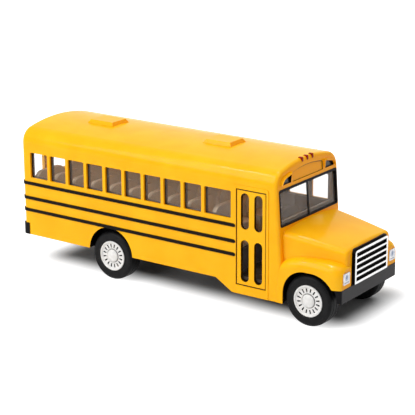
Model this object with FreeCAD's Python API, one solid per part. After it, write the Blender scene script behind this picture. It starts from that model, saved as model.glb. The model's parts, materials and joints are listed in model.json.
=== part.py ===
import FreeCAD, Part
import math
import os
from FreeCAD import Vector

# Die-cast toy school bus, in millimetres.
# +X is forward, +Y is the bus's left, +Z is up, and the tyres stand on Z = 0.
# Lengths are set out from the two ends, widths from the side panels, and heights
# from the wheels, the window sills and the roof.

# Overall envelope
overall_length = 216.0      # back of the rear bumper to the front of the grille
body_width = 61.1           # over the flat side panels
wall = 2.0                  # casting thickness of the body
hood_wall = 1.8             # casting thickness of the hood and fenders
clear = 0.3                 # gap between pieces that only lie side by side

# Body section and ends
skirt_z = 16.1              # lower edge of the side panels
step_skirt_z = 9.9          # lower edge under the door
step_slope = (13.55, 3.25)  # the skirt drops between these places behind the door
sill_z = 50.7               # lower edge of the side windows
window_height = 15.0
roof_rise = 16.55           # crown of the roof above the windows
shoulder_r = 8.9            # roof corner seen from the front
crown_r = 103.8             # gentle crown across the roof
rear_round = 3.0            # rounding round the rear end
front_round = 2.0           # rounding round the cab front
hood_length = 38.0          # foot of the windscreen to the front of the grille
cowl_drop = 1.7             # that foot lies this far below the sills
cab_lean = 0.07             # how far the cab front leans back for each mm of height

# Bumpers
bumper_stand = 0.8          # rear bumper stands proud of the body's back
bumper_side = 0.45          # and of its sides
rear_bumper_z = (16.2, 23.0)
rear_bumper_wrap = 5.3
rear_bumper_corner_r = 3.2
front_bumper_set = 1.0      # front bumper lies behind the grille's face
front_bumper_in = 2.2       # and ends this far inside the side panels
front_bumper_z = (15.8, 23.1)
front_bumper_wrap = 6.4
front_bumper_bar = 3.0
front_bumper_corner_r = 0.8

# Side windows
rear_pillar = 6.7           # body's back to the rearmost window
rear_window_extra = 1.3     # the rearmost window is this much wider
window_width = 11.5
window_post = 2.05
wide_window_least = 12.0    # the window behind the door takes what is left, at least this
driver_window_set = 5.5     # driver's window lies this far behind the windscreen's foot
driver_window_width = 11.5
left_window_width = 13.05   # window behind the driver's
window_corner_r = 0.7

# Rear windows and emergency door
rear_door_half = 10.9
rear_window_drop = 2.2      # the rear windows reach this far below the side ones
rear_window_gap = 2.1       # from the door's window to the one beside it
rear_window_set = 5.95      # from that one to the side panel
rear_door_foot = 3.4        # foot of the emergency door above the skirt
rear_door_head = 2.5        # its head above the windows
rear_door_edge = 1.05       # its outline lies this far outside its window
groove = 0.5                # width of the moulded outline groove
groove_depth = 0.35

# Windscreen
screen_set = 1.8            # opening ends this far inside the side panels
screen_foot = 0.7           # and starts this far below the sills
screen_head = 4.2           # its top above the side windows
screen_corner_r = 1.4
screen_seal = 1.1           # width of the black surround
screen_seal_foot = 0.5
screen_seal_top = 1.4
screen_seal_stand = 0.15
screen_post = 1.3
screen_glass = 1.0
screen_depth = 0.9          # the pane's face lies this far behind the cab front
screen_post_stand = 0.45
screen_lean = 0.09          # the pane leans back more than the cab front
screen_frame = 1.7          # width of the moulded frame behind the pane
screen_frame_depth = 1.2

# Door and its opening
door_set = 8.0              # front edge of the door behind the windscreen's foot
door_width = 18.35
door_foot_z = 15.1
door_head = 1.8             # top of the door above the windows
door_gap = 0.35
door_thick = 1.8
door_frame = 1.4            # moulded frame round the doorway
door_frame_top = 2.1
door_frame_stand = 0.3
door_frame_corner_r = 2.0
door_slot_width = 5.1
door_slot_set = 5.2         # rear row of slots from the door's rear edge
door_slot_pitch = 8.45
door_slots = ((1.9, 23.2), (31.0, 19.7))    # foot above the door's foot, and height
pivot_r = 0.5
pivot_length = 1.4
pivot_fit = 0.07
pivot_play = 0.3            # sockets are this much deeper than the pins

# Side rub rails
rail_drop = (3.4, 12.2, 19.5)   # middle of each rail below the sills
rail_height = 1.8
rail_stand = 0.5
rail_end = 0.3              # rails end this far from the door's gap
rail_left_end = 3.4         # and on the left this far behind the windscreen's foot
rail_rear_half = 15.4       # inner end of the rails on the back

# Roof hatches
hatch_back = (31.3, 112.7)  # rear edge of each hatch ahead of the body's back
hatch_length = 18.2
hatch_width = 14.4
hatch_stand = 1.85          # top of a hatch above the roof's crown
hatch_slope = 1.2           # its sides lean in by this much on the way up

# Header above the windscreen, with heights below the roof's crown
sign_gap = 1.2              # between the sign panel and the lamp pods
sign_drop = (10.55, 4.15)
sign_rise = 1.6             # how far its top edge arches
sign_depth = 0.5
pod_margin = 3.5            # lamp pods follow the roof's corner this far inside it
pod_reach = 14.55           # their inner edge inside the side panels
pod_drop = 11.4             # foot of the pods
pod_wall = 1.15
pod_stand = 1.3             # how far a front pod's visor stands out at its top
pod_depth = 1.2
rear_pod_stand = 0.6
lens = 0.6                  # thickness of the warning lamps
clearance_pitch = 5.0
clearance_length = 2.6
clearance_width = 1.1
clearance_stand = 0.4
clearance_bevel = 0.35

# Glazing and lining
glass = 1.0
glass_margin = 1.6          # how far the glazing laps the wall round a window
lining = 1.0
lining_inset = 0.25         # lining posts are this much narrower on each side
lining_head = 3.2           # lining runs this far above the windows
lining_end = 2.2            # and ends this far behind the door on the right

# Floors
floor = 1.6
cab_floor_z = 21.0
cab_floor_front = 2.6       # cab floor ends this far behind the windscreen's foot
step_depth = 8.0            # tread of the step inside the door

# Seats
seat_back_rise = 20.6       # top of a seat back above the saloon floor
seat_cushion_rise = 10.4
seat_inner = 2.6            # aisle edge of a bench
seat_back = 2.6
seat_depth = 9.0
seat_corner_r = 5.0
seat_front = 0.6            # front of a seat back ahead of the window's rear edge
seat_last_shift = 3.7       # the seat in the wide window stands further forward
seat_cushion_in = 0.6       # cushion is this much narrower on each side
seat_cushion_r = 1.5
plinth = 1.5                # foot that joins a row of benches

# Driver's seat, dashboard and steering wheel, set out behind the windscreen's foot
driver_reach = 17.55        # middle of the seat inside the side panel
driver_half = 8.0
driver_back_set = (23.4, 20.4)
driver_back_rise = 27.0
driver_back_corner_r = 4.0
driver_cushion_set = 11.4
driver_cushion_rise = 15.0
driver_cushion_in = 0.5
dash_set = 8.9              # driver's part of the dashboard
dash_lip_set = 5.9          # its narrow part by the door
dash_lip = 10.0
dash_drop = 1.6
steer_set = 14.1
steer_z = 44.5
steer_r = 5.0
steer_rim = 0.7
steer_column_r = 0.9
steer_column = 6.0
steer_tilt = 60.0

# Hood, with half widths inside the side panels and crowns from the sills
hood_lap = 4.0              # hood starts this far inside the cab
hood_set = (2.8, 5.5, 8.4)
hood_crown = (-1.0, -3.8, -7.3)
hood_nose_set = 1.7         # hood ends this far behind the grille's face
hood_shoulder_r = 3.2
hood_crown_r = 200.0
hood_nose_r = 2.2

# Front fenders
fender_stand = 0.25         # fender swells this much past the side panel
fender_edge_r = 4.8
fender_heel = (-18.6, -18.0, -16.5)     # rear edge behind the axle, foot to top
fender_heel_z = (21.0, 29.2)
# Place ahead of the axle, height at the hood, fall to the outer edge and its pull inwards
fender_line = ((-19.4, 30.4, 2.4, 0.0), (-17.6, 32.7, 2.4, 0.0), (-15.0, 34.8, 2.3, 0.0),
               (-11.0, 36.3, 2.2, 0.0), (-3.8, 37.1, 2.0, 0.0), (2.0, 37.2, 1.8, 0.0),
               (9.2, 36.9, 1.4, 0.0), (13.4, 36.3, 1.0, 0.2), (16.1, 35.7, 0.7, 0.7),
               (18.0, 34.8, 0.5, 1.5), (19.4, 33.6, 0.4, 2.7))

# Grille and lamps
grille_half = 17.0
grille_z = (23.5, 41.5)
grille_corner_r = 1.6
grille_depth = 1.2
grille_rim = 1.5
grille_bars = 4
grille_bar = 1.42
surround_side = 0.85        # black surround wider than the grille
surround_foot = 0.25
surround_head = 0.85
headlamp_set = 3.45         # headlamp ends this far inside the side panels
headlamp_width = 6.4
headlamp_z = (25.5, 31.6)
headlamp_depth = 1.4
headlamp_stand = 0.3
lamp_corner_r = 0.8
tail_lamp_r = 2.2
tail_lamp_set = 8.05        # middle of a tail lamp inside the side panels
tail_lamp_stand = 0.5

# Wheels
front_overhang = 20.6
wheelbase = 129.6
tyre_r = 13.85
tyre_shoulder = 1.2
hub_r = 8.6
hub_rim = 1.1
wheel_width = 9.5
wheel_set = 1.0             # outer face of a wheel inside the side panels
axle_r = 1.25
axle_fit = 0.06
axle_end = 2.4              # axle ends this far inside the wheel's face
arch_r = 15.4
rear_arch_z = 15.3
front_arch_r = 13.6         # the front arch is two rounds with a short flat between
front_arch_z = 16.1
front_arch_ahead = (-1.1, 2.9)  # their middles ahead of the axle
hub_slots = 16
hub_slot = (1.9, 0.85)      # length and width of a slot in the wheel disc
hub_slot_r = 6.0
hub_slot_depth = 1.6
hub_dish = 0.75             # wheel disc lies this far inside the rim
hub_disc = 2.85
hub_boss_r = 3.0
hub_cap_r = 3.5
hub_cap_rise = 0.75         # height of the domed cap
hub_cap_stand = 0.15        # its top stands proud of the tyre's face
hub_cap_groove = 0.35

# Base
base_z = (16.2, 17.6)
base_fit = 0.1              # base sits this far inside the casting
wheel_room = 2.45           # from a wheel's inner face to the liner
liner_wall = 1.4
spine_z = 9.6               # underside of the moulded frame rails
spine_y = (7.0, 11.0)
spine_set = (8.8, 12.0)     # rails end this far inside the body's back and the grille
axle_block = 4.0            # half length of the block round an axle
axle_block_rise = 1.5
shaft_r = 2.2               # moulded propeller shaft
gearbox = (11.0, 22.0, 5.0)     # ends behind the front axle and half width
differential_r = 5.0
differential_half = 4.0
tank_x = (38.0, 62.0)       # moulded tank ahead of the rear axle
tank_y = (13.0, 24.0)
boss_r = 3.2                # screw bosses in line with the frame
boss_bore_r = 1.7
boss_bore = 2.0
boss_back = 18.0            # one boss ahead of the body's back

# Derived places
half_width = body_width / 2
inner_half = half_width - wall
window_z = (sill_z, sill_z + window_height)
roof_z = window_z[1] + roof_rise
back_x = -overall_length / 2
front_x = overall_length / 2
rear_x = back_x + bumper_stand
cowl_x = front_x - hood_length
cowl_z = sill_z - cowl_drop
front_axle_x = front_x - front_overhang
rear_axle_x = front_axle_x - wheelbase
door_x = (cowl_x - door_set - door_width, cowl_x - door_set)
door_z = (door_foot_z, window_z[1] + door_head)
pivot_x = door_x[1] - door_thick / 2
pivot_y = -half_width + door_thick / 2
screen_half = half_width - screen_set
screen_z = (sill_z - screen_foot, window_z[1] + screen_head)
rear_window_z = (sill_z - rear_window_drop, window_z[1])
screen_frame_back = screen_depth + screen_glass + screen_frame_depth
window_pitch = window_width + window_post
window_start = rear_x + rear_pillar + rear_window_extra
wide_window_end = door_x[0] - door_gap - door_frame - window_post
window_count = int((wide_window_end - wide_window_least - window_start) / window_pitch)
rail_z = [sill_z - drop for drop in rail_drop]
saloon_z = rear_arch_z + arch_r + clear + floor
saloon_end = door_x[0] - lining_end
lining_y = inner_half - glass - lining
pod_inner_y = half_width - pod_reach
sign_half = pod_inner_y - sign_gap
driver_y = half_width - driver_reach
bench_y = lining_y - clear
front_bumper_half = half_width - front_bumper_in
hood_front_x = front_x - hood_nose_set
fender_front_x = front_axle_x + fender_line[-1][0]
front_arch_x = [front_axle_x + place for place in front_arch_ahead]
front_well_x = (front_arch_x[0] - front_arch_r, front_arch_x[1] + front_arch_r)
wheel_face_y = half_width - wheel_set
wheel_back_y = wheel_face_y - wheel_width
base_waist = wheel_back_y - wheel_room
fender_inner = base_waist + liner_wall + base_fit
over = 5.0                  # how far a cutter runs past what it cuts
far = 300.0


def box(x0, x1, y0, y1, z0, z1):
    return Part.makeBox(x1 - x0, y1 - y0, z1 - z0, Vector(x0, y0, z0))


def side_box(side, x0, x1, y_in, y_out, z0, z1):
    """Box on one side of the bus, -1 for the right and 1 for the left"""
    y0, y1 = sorted((side * y_in, side * y_out))
    return box(x0, x1, y0, y1, z0, z1)


def mirrored(shape):
    return shape.mirror(Vector(0, 0, 0), Vector(0, 1, 0))


def both_sides(shape):
    return Part.makeCompound([shape, mirrored(shape)])


def rod_x(radius, x0, x1, y, z):
    return Part.makeCylinder(radius, x1 - x0, Vector(x0, y, z), Vector(1, 0, 0))


def rod_y(radius, y0, y1, x, z):
    return Part.makeCylinder(radius, y1 - y0, Vector(x, y0, z), Vector(0, 1, 0))


def rod_z(radius, z0, z1, x, y):
    return Part.makeCylinder(radius, z1 - z0, Vector(x, y, z0), Vector(0, 0, 1))


def fillet_where(shape, radius, wanted):
    edges = [edge for edge in shape.Edges if wanted(edge)]
    return shape.makeFillet(radius, edges)


def along(edge, axis):
    """True where a straight edge runs along axis 0, 1 or 2"""
    if edge.Curve.TypeId != "Part::GeomLine":
        return False
    step = edge.valueAt(edge.LastParameter) - edge.valueAt(edge.FirstParameter)
    return all(abs(step[other]) < 1e-6 for other in range(3) if other != axis)


def rounded_in_xz(x0, x1, y0, y1, z0, z1, radius):
    """Block whose four edges along Y are rounded"""
    return fillet_where(box(x0, x1, y0, y1, z0, z1), radius, lambda edge: along(edge, 1))


def rounded_in_yz(x0, x1, y0, y1, z0, z1, radius):
    """Block whose four edges along X are rounded"""
    return fillet_where(box(x0, x1, y0, y1, z0, z1), radius, lambda edge: along(edge, 0))


def slot_in_xz(x, width, z0, z1, y0, y1):
    """Upright slot with fully round ends, cut along Y"""
    radius = width / 2
    middle = box(x - radius, x + radius, y0, y1, z0 + radius, z1 - radius)
    ends = [rod_y(radius, y0, y1, x, z0 + radius), rod_y(radius, y0, y1, x, z1 - radius)]
    return middle.fuse(ends).removeSplitter()


def prism_xz(points, y0, y1):
    """Flat outline in X and Z, given its thickness along Y"""
    corners = [Vector(x, y0, z) for x, z in points]
    face = Part.Face(Part.makePolygon(corners + corners[:1]))
    return face.extrude(Vector(0, y1 - y0, 0))


def arch_wire(x, half, crown_z, corner_r, top_r, bottom_z):
    """Section with upright sides, rounded shoulders and a crowned top"""
    hub_z = crown_z - top_r
    corner_y = half - corner_r
    corner_z = hub_z + math.sqrt((top_r - corner_r) ** 2 - corner_y ** 2)
    tilt = math.atan2(corner_z - hub_z, corner_y)

    def corner(angle, side):
        return Vector(x, side * (corner_y + corner_r * math.cos(angle)),
                      corner_z + corner_r * math.sin(angle))

    right = [corner(0, -1), corner(tilt / 2, -1), corner(tilt, -1)]
    left = [corner(tilt, 1), corner(tilt / 2, 1), corner(0, 1)]
    foot_right = Vector(x, -half, bottom_z)
    foot_left = Vector(x, half, bottom_z)
    return Part.Wire([
        Part.makeLine(foot_right, right[0]),
        Part.Arc(*right).toShape(),
        Part.Arc(right[2], Vector(x, 0, crown_z), left[0]).toShape(),
        Part.Arc(*left).toShape(),
        Part.makeLine(left[2], foot_left),
        Part.makeLine(foot_left, foot_right)])


def roof_arch(x0, x1, inset, bottom_z):
    """Length of the body's cross section, smaller by inset all round"""
    wire = arch_wire(x0, half_width - inset, roof_z - inset, shoulder_r - inset,
                     crown_r - inset, bottom_z)
    return Part.Face(wire).extrude(Vector(x1 - x0, 0, 0))


def ahead_of(x, z, lean):
    """Everything ahead of a face that goes through x and z and leans back"""
    rise = roof_z
    return prism_xz([(x + rise * lean, z - rise), (x - rise * lean, z + rise),
                     (far, z + rise), (far, z - rise)], -far, far)


def cab_front_x(z):
    return cowl_x + (cowl_z - z) * cab_lean


def ahead_of_cab(inset):
    """Everything ahead of the leaning cab front, moved back by inset"""
    return ahead_of(cowl_x - inset, cowl_z, cab_lean)


def ahead_of_screen(inset):
    return ahead_of(cab_front_x(screen_z[0]) - inset, screen_z[0], screen_lean)


def body_form(inset, bottom_z):
    """Outside of the body where inset is 0, and its hollow where inset is the wall.

    An edge is rounded where its radius is more than the inset.
    """
    start = rear_x + inset
    solid = roof_arch(start, cowl_x + over, inset, bottom_z).cut(ahead_of_cab(inset))

    def at_foot(edge):
        return all(abs(v.Z - bottom_z) < 1e-4 for v in edge.Vertexes)

    def on_rear(edge):
        return all(abs(v.X - start) < 1e-4 for v in edge.Vertexes) and not at_foot(edge)

    def on_front(edge):
        return all(abs(v.X - cab_front_x(v.Z) + inset) < 1e-4 for v in edge.Vertexes) \
            and not at_foot(edge)

    for radius, wanted in ((rear_round - inset, on_rear), (front_round - inset, on_front)):
        if radius > 0:
            solid = fillet_where(solid, radius, wanted)
    return solid


def side_windows(side):
    """Rear and front edge of each window on one side, -1 for the door's side"""
    starts = [window_start + i * window_pitch for i in range(window_count)]
    spans = [(start, start + window_width) for start in starts]
    spans[0] = (spans[0][0] - rear_window_extra, spans[0][1])
    wide_start = window_start + window_count * window_pitch
    if side < 0:
        return spans + [(wide_start, wide_window_end)]
    driver_end = cowl_x - driver_window_set
    driver_start = driver_end - driver_window_width
    next_end = driver_start - window_post
    next_start = next_end - left_window_width
    return spans + [(wide_start, next_start - window_post), (next_start, next_end),
                    (driver_start, driver_end)]


def window_cutters(side):
    y0, y1 = sorted((side * (inner_half - over), side * (half_width + over)))
    return [rounded_in_xz(x0, x1, y0, y1, *window_z, window_corner_r)
            for x0, x1 in side_windows(side)]


def front_arch(y0, y1):
    """Room of the front wheel arch, with upright ends below its middles"""
    top = box(*front_arch_x, y0, y1, front_arch_z, front_arch_z + front_arch_r)
    below = box(*front_well_x, y0, y1, 0, front_arch_z)
    rounds = [rod_y(front_arch_r, y0, y1, x, front_arch_z) for x in front_arch_x]
    return top.fuse([below] + rounds).removeSplitter()


def fender_side_block(y0, y1):
    """Side view of a front fender, from its heel round the arch to the bumper"""
    foot, middle, top = [front_axle_x + place for place in fender_heel]
    heel = [Vector(foot, y0, step_skirt_z), Vector(middle, y0, fender_heel_z[0]),
            Vector(top, y0, fender_heel_z[1])]
    rear_top = Vector(top, y0, roof_z)
    front_top = Vector(fender_front_x, y0, roof_z)
    front_foot = Vector(fender_front_x, y0, front_bumper_z[1])
    notch = Vector(front_axle_x, y0, front_bumper_z[1])
    rear_foot = Vector(front_axle_x, y0, step_skirt_z)
    outline = [heel[2], rear_top, front_top, front_foot, notch, rear_foot, heel[0]]
    lines = [Part.makeLine(start, end) for start, end in zip(outline, outline[1:])]
    wire = Part.Wire([Part.Arc(*heel).toShape()] + lines)
    block = Part.Face(wire).extrude(Vector(0, y1 - y0, 0))
    return block.cut(front_arch(y0 - over, y1 + over))


def fender_section(x, top_z, fall, outer):
    """Section across a fender: sloping top, rounded shoulder, upright side"""
    slope = math.atan2(fall, outer - fender_inner)
    reach = fender_edge_r * math.tan((math.pi / 2 - slope) / 2)
    corner = Vector(x, -outer, top_z - fall)
    on_top = corner + Vector(0, math.cos(slope), math.sin(slope)) * reach
    on_side = corner - Vector(0, 0, reach)
    hub = Vector(x, -outer + fender_edge_r, top_z - fall - reach)
    halfway = Vector(0, -1 - math.sin(slope), math.cos(slope)).normalize()
    inner_top = Vector(x, -fender_inner, top_z)
    foot = [Vector(x, -outer, 0), Vector(x, -fender_inner, 0)]
    return Part.Wire([
        Part.makeLine(inner_top, on_top),
        Part.Arc(on_top, hub + halfway * fender_edge_r, on_side).toShape(),
        Part.makeLine(on_side, foot[0]),
        Part.makeLine(foot[0], foot[1]),
        Part.makeLine(foot[1], inner_top)])


def fender():
    """Right front fender, full thickness"""
    outer = half_width + fender_stand
    sections = [fender_section(front_axle_x + place, top, fall, outer - pull)
                for place, top, fall, pull in fender_line]
    dome = Part.makeLoft(sections, True, False)
    return dome.common(fender_side_block(-half_width - over, -fender_inner))


def make_body_shell():
    shell = body_form(0.0, step_skirt_z).fuse(doorway_frame())
    shell = shell.cut(body_form(wall, step_skirt_z - over))
    shell = shell.cut(below_skirt())
    for side in (-1, 1):
        shell = shell.cut(window_cutters(side))
        shell = shell.cut(rear_arch_cutter(side))
    shell = shell.cut(rear_cutters())
    shell = shell.cut(screen_cutter())
    shell = shell.cut(doorway_cutters())
    shell = shell.cut(fender_room())
    shell = shell.fuse(lamp_pods())
    shell = shell.cut(header_recesses())
    return shell.removeSplitter()


def doorway_frame():
    """Raised frame round the doorway, rounded at its top front corner"""
    front = door_x[1] + door_gap + door_frame
    top = door_z[1] + door_gap + door_frame_top
    frame = box(door_x[0] - door_gap - door_frame, front, -half_width - door_frame_stand,
                -half_width + wall / 2, step_skirt_z, top)

    def at_corner(edge):
        corner = edge.Vertexes[0]
        return along(edge, 1) and abs(corner.X - front) < 1e-6 and abs(corner.Z - top) < 1e-6

    return fillet_where(frame, door_frame_corner_r, at_corner)


def below_skirt():
    """What the skirt leaves open, with the slope down to the door's step"""
    slope_start, slope_end = [door_x[0] - place for place in step_slope]
    return prism_xz([(-far, -over), (-far, skirt_z), (slope_start, skirt_z),
                     (slope_end, step_skirt_z), (slope_end, -over)], -far, far)


def rear_arch_cutter(side):
    y0, y1 = sorted((side * (inner_half - over), side * far))
    wheel = rod_y(arch_r, y0, y1, rear_axle_x, rear_arch_z)
    below = box(rear_axle_x - arch_r, rear_axle_x + arch_r, y0, y1, 0, rear_arch_z)
    return wheel.fuse(below)


def rear_cutters():
    """Rear windows and the outline groove of the emergency door"""
    back = rear_x - over
    deep = rear_x + wall + clear
    cuts = [rounded_in_yz(back, deep, -rear_door_half, rear_door_half, *rear_window_z,
                          window_corner_r)]
    for side in (-1, 1):
        y0, y1 = sorted((side * (rear_door_half + rear_window_gap),
                         side * (half_width - rear_window_set)))
        cuts.append(rounded_in_yz(back, deep, y0, y1, *rear_window_z, window_corner_r))
    outside = rear_door_half + rear_door_edge + groove / 2
    inside = outside - groove
    foot = skirt_z + rear_door_foot
    head = window_z[1] + rear_door_head
    outline = box(back, rear_x + groove_depth, -outside, outside, foot, head)
    leaf = box(back - over, rear_x + wall, -inside, inside, foot + groove, head - groove)
    cuts.append(outline.cut(leaf))
    return cuts


def screen_cutter(side=0.0, foot=0.0, head=0.0):
    """Windscreen opening, narrowed at its sides, foot and head"""
    half = screen_half - side
    return rounded_in_yz(cowl_x - over, cowl_x + over, -half, half, screen_z[0] + foot,
                         screen_z[1] - head, screen_corner_r - side / 2)


def pane_cutter():
    """What the seal leaves open for the pane"""
    return screen_cutter(screen_seal, screen_seal_foot, screen_seal_top)


def doorway_cutters():
    """Doorway and the two sockets for the door's pivots"""
    opening = box(door_x[0] - door_gap, door_x[1] + door_gap, -far, -inner_half + clear,
                  door_z[0] - door_gap, door_z[1] + door_gap)
    radius = pivot_r + pivot_fit
    depth = pivot_length + pivot_play
    return [opening, rod_z(radius, door_z[1], door_z[1] + depth, pivot_x, pivot_y),
            rod_z(radius, door_z[0] - depth, door_z[0], pivot_x, pivot_y)]


def fender_room():
    """Room that the fenders' heels and the base take out of the cab's lower corners"""
    heel = fender().common(box(0, far, -far, -inner_half, 0, roof_z))
    under = box(cowl_x - over, far, -inner_half, inner_half, -over, base_z[1] + base_fit)
    return [heel, mirrored(heel), under, front_arch(-far, far)]


def pod_outline(side, x0, x1, inset):
    """Block with the outline of a warning lamp's pod, which follows the roof's corner"""
    foot = roof_z - pod_drop + inset
    arch = roof_arch(x0, x1, pod_margin + inset, foot - over)
    return arch.common(side_box(side, x0, x1, pod_inner_y + inset, far, foot, far))


def lamp_pods():
    """Visors round the warning lamps, two on the header and two on the back"""
    foot = roof_z - pod_drop
    head = roof_z - pod_margin
    visor_front = prism_xz([(cab_front_x(foot), foot), (cab_front_x(head) + pod_stand, head),
                            (far, head), (far, foot)], -far, far)
    visor_back = prism_xz([(rear_x, foot), (rear_x - rear_pod_stand, head),
                           (-far, head), (-far, foot)], -far, far)
    pods = []
    for side in (-1, 1):
        front_block = pod_outline(side, cowl_x - over, cowl_x, 0.0)
        back_block = pod_outline(side, rear_x - over, rear_x + wall, 0.0)
        pods += [front_block.cut(visor_front), back_block.cut(visor_back)]
    return pods


def lamp_room(side, depth):
    """Pockets of one side's warning lamps, cut to a depth from the body's faces"""
    front = pod_outline(side, cowl_x - over, cowl_x + over, pod_wall)
    back = pod_outline(side, rear_x - over, rear_x + depth, pod_wall)
    return [front.common(ahead_of_cab(depth)), back]


def header_recesses():
    """Blank sign panel with an arched top, and the pockets of the warning lamps"""
    low, high = [roof_z - drop for drop in sign_drop]
    start = cowl_x - over
    top = [Vector(start, -sign_half, high - sign_rise), Vector(start, 0, high),
           Vector(start, sign_half, high - sign_rise)]
    foot = [Vector(start, sign_half, low), Vector(start, -sign_half, low)]
    wire = Part.Wire([Part.Arc(*top).toShape(), Part.makeLine(top[2], foot[0]),
                      Part.makeLine(foot[0], foot[1]), Part.makeLine(foot[1], top[0])])
    panel = Part.Face(wire).extrude(Vector(far, 0, 0)).common(ahead_of_cab(sign_depth))
    return [panel] + lamp_room(-1, pod_depth) + lamp_room(1, pod_depth)


def make_warning_lamps(end):
    """Two lenses at the bottom of their pockets, on the header or on the back"""
    lamps = []
    for side in (-1, 1):
        pocket = lamp_room(side, pod_depth)
        shallow = lamp_room(side, pod_depth - lens)
        lamps.append(pocket[end].cut(shallow[end]))
    return Part.makeCompound(lamps)


def hood_form(inset, nose_x, bottom_z, ruled):
    """Tapered, crowned hood, smaller by inset on its sides and top"""
    start = cowl_x - hood_lap
    places = (start, (start + nose_x) / 2, nose_x)
    wires = [arch_wire(x, half_width - narrow - inset, sill_z + crown - inset,
                       hood_shoulder_r - inset, hood_crown_r, bottom_z)
             for x, narrow, crown in zip(places, hood_set, hood_crown)]
    return Part.makeLoft(wires, True, ruled)


def hood_outside():
    """Full hood with a rounded rim at its nose"""
    hood = hood_form(0.0, hood_front_x, front_bumper_z[1], False)

    def nose_rim(edge):
        on_face = all(abs(v.X - hood_front_x) < 1e-4 for v in edge.Vertexes)
        return on_face and max(v.Z for v in edge.Vertexes) > front_bumper_z[1] + hood_nose_r

    return fillet_where(hood, hood_nose_r, nose_rim)


def make_front_clip():
    right = fender()
    clip = hood_outside().fuse([right, mirrored(right)])
    clip = clip.cut(hood_form(hood_wall, hood_front_x - hood_wall, front_bumper_z[1] - over, True))
    clip = clip.cut([front_arch(-far, -base_waist), front_arch(base_waist, far)])
    cab = box(-far, far, -inner_half, inner_half, -far, far).cut(ahead_of_cab(0.0))
    clip = clip.cut(cab)
    clip = clip.cut(headlamp(far))
    return clip.removeSplitter()


def headlamp(depth):
    """Pair of headlamps, or their pockets where depth runs out of the fender"""
    outer = half_width - headlamp_set
    start = fender_front_x + headlamp_stand - headlamp_depth
    lamp = rounded_in_yz(start, start + depth, -outer, headlamp_width - outer, *headlamp_z,
                         lamp_corner_r)
    return both_sides(lamp)


def nose_block(x0, x1, half, z0, z1, radius):
    """Block across the nose, rounded at its two top corners"""
    def top_corner(edge):
        return along(edge, 0) and abs(edge.Vertexes[0].Z - z1) < 1e-6

    return fillet_where(box(x0, x1, -half, half, z0, z1), radius, top_corner)


def make_grille():
    back = front_x - grille_depth
    frame = nose_block(back, front_x, grille_half, *grille_z, grille_corner_r)
    half = grille_half - grille_rim
    room = grille_z[1] - grille_z[0] - 2 * grille_rim
    gap = (room - grille_bars * grille_bar) / (grille_bars + 1)
    for i in range(grille_bars + 1):
        low = grille_z[0] + grille_rim + i * (gap + grille_bar)
        frame = frame.cut(rounded_in_yz(back - over, front_x + over, -half, half, low,
                                        low + gap, gap / 3))
    return frame


def make_grille_surround():
    """Black plate between the nose and the grille, fitted to the nose's rounded rim"""
    block = nose_block(hood_front_x - hood_nose_r, front_x - grille_depth,
                       grille_half + surround_side, grille_z[0] - surround_foot,
                       grille_z[1] + surround_head, grille_corner_r + surround_head)
    return block.cut(hood_outside())


def make_door():
    """One-piece door with a round hinge edge, two pivots and four slots"""
    outer = -half_width
    inner = outer + door_thick
    panel = box(door_x[0], pivot_x, outer, inner, *door_z)
    edge = rod_z(door_thick / 2, *door_z, pivot_x, pivot_y)
    pins = [rod_z(pivot_r, door_z[1], door_z[1] + pivot_length, pivot_x, pivot_y),
            rod_z(pivot_r, door_z[0] - pivot_length, door_z[0], pivot_x, pivot_y)]
    door = panel.fuse([edge] + pins)
    for column in range(2):
        x = door_x[0] + door_slot_set + column * door_slot_pitch
        for foot, height in door_slots:
            low = door_z[0] + foot
            door = door.cut(slot_in_xz(x, door_slot_width, low, low + height,
                                       outer - over, inner + over))
    return door.removeSplitter()


def make_rails(side):
    """Three ribs along one side, wrapped round the rear corner"""
    band = body_form(-rail_stand, step_skirt_z).cut(body_form(0.0, step_skirt_z - over))
    end = door_x[0] - door_gap - rail_end if side < 0 else cowl_x - rail_left_end
    radius = rail_height / 2
    ribs = []
    for z in rail_z:
        bar = side_box(side, -far, end - radius, rail_rear_half, far, z - radius, z + radius)
        y0, y1 = sorted((side * inner_half, side * far))
        rib = band.common(bar.fuse(rod_y(radius, y0, y1, end - radius, z)))
        ribs.append(rib.cut(doorway_frame()) if side < 0 else rib)
    return Part.makeCompound(ribs)


def flat_outline(x0, x1, half, z):
    """Level rectangle about the middle of the bus"""
    corners = [Vector(x0, -half, z), Vector(x1, -half, z), Vector(x1, half, z),
               Vector(x0, half, z)]
    return Part.makePolygon(corners + corners[:1])


def make_hatches():
    """Two hatches whose sides lean in, from inside the roof to their tops"""
    roof = body_form(0.0, step_skirt_z)
    half = hatch_width / 2
    lean = hatch_slope / hatch_stand
    hatches = []
    for place in hatch_back:
        start = rear_x + place
        end = start + hatch_length
        outlines = [flat_outline(start + rise * lean, end - rise * lean, half - rise * lean,
                                 roof_z + rise) for rise in (-hatch_stand, hatch_stand)]
        hatches.append(Part.makeLoft(outlines, True, True).cut(roof))
    return Part.makeCompound(hatches)


def make_clearance_lamps():
    """Three small lamps over the edge between the roof and the header"""
    roof = body_form(0.0, step_skirt_z)
    front = cab_front_x(roof_z) + clearance_stand
    top = roof_z + clearance_stand
    lamps = []
    for i in (-1, 0, 1):
        y = i * clearance_pitch
        block = box(front - clearance_length, front, y - clearance_width / 2,
                    y + clearance_width / 2, top - clearance_length, top)
        block = block.makeChamfer(clearance_bevel, [edge for edge in block.Edges
                                                    if along(edge, 1)])
        lamps.append(block.cut(roof))
    return Part.makeCompound(lamps)


def make_tail_lamps():
    """Round lamps between the rub rails' ends"""
    lamps = []
    for above, below in zip(rail_z[:-1], rail_z[1:]):
        z = (above + below) / 2
        lamps.append(rod_x(tail_lamp_r, rear_x - tail_lamp_stand, rear_x,
                           tail_lamp_set - half_width, z))
    return both_sides(Part.makeCompound(lamps))


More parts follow.
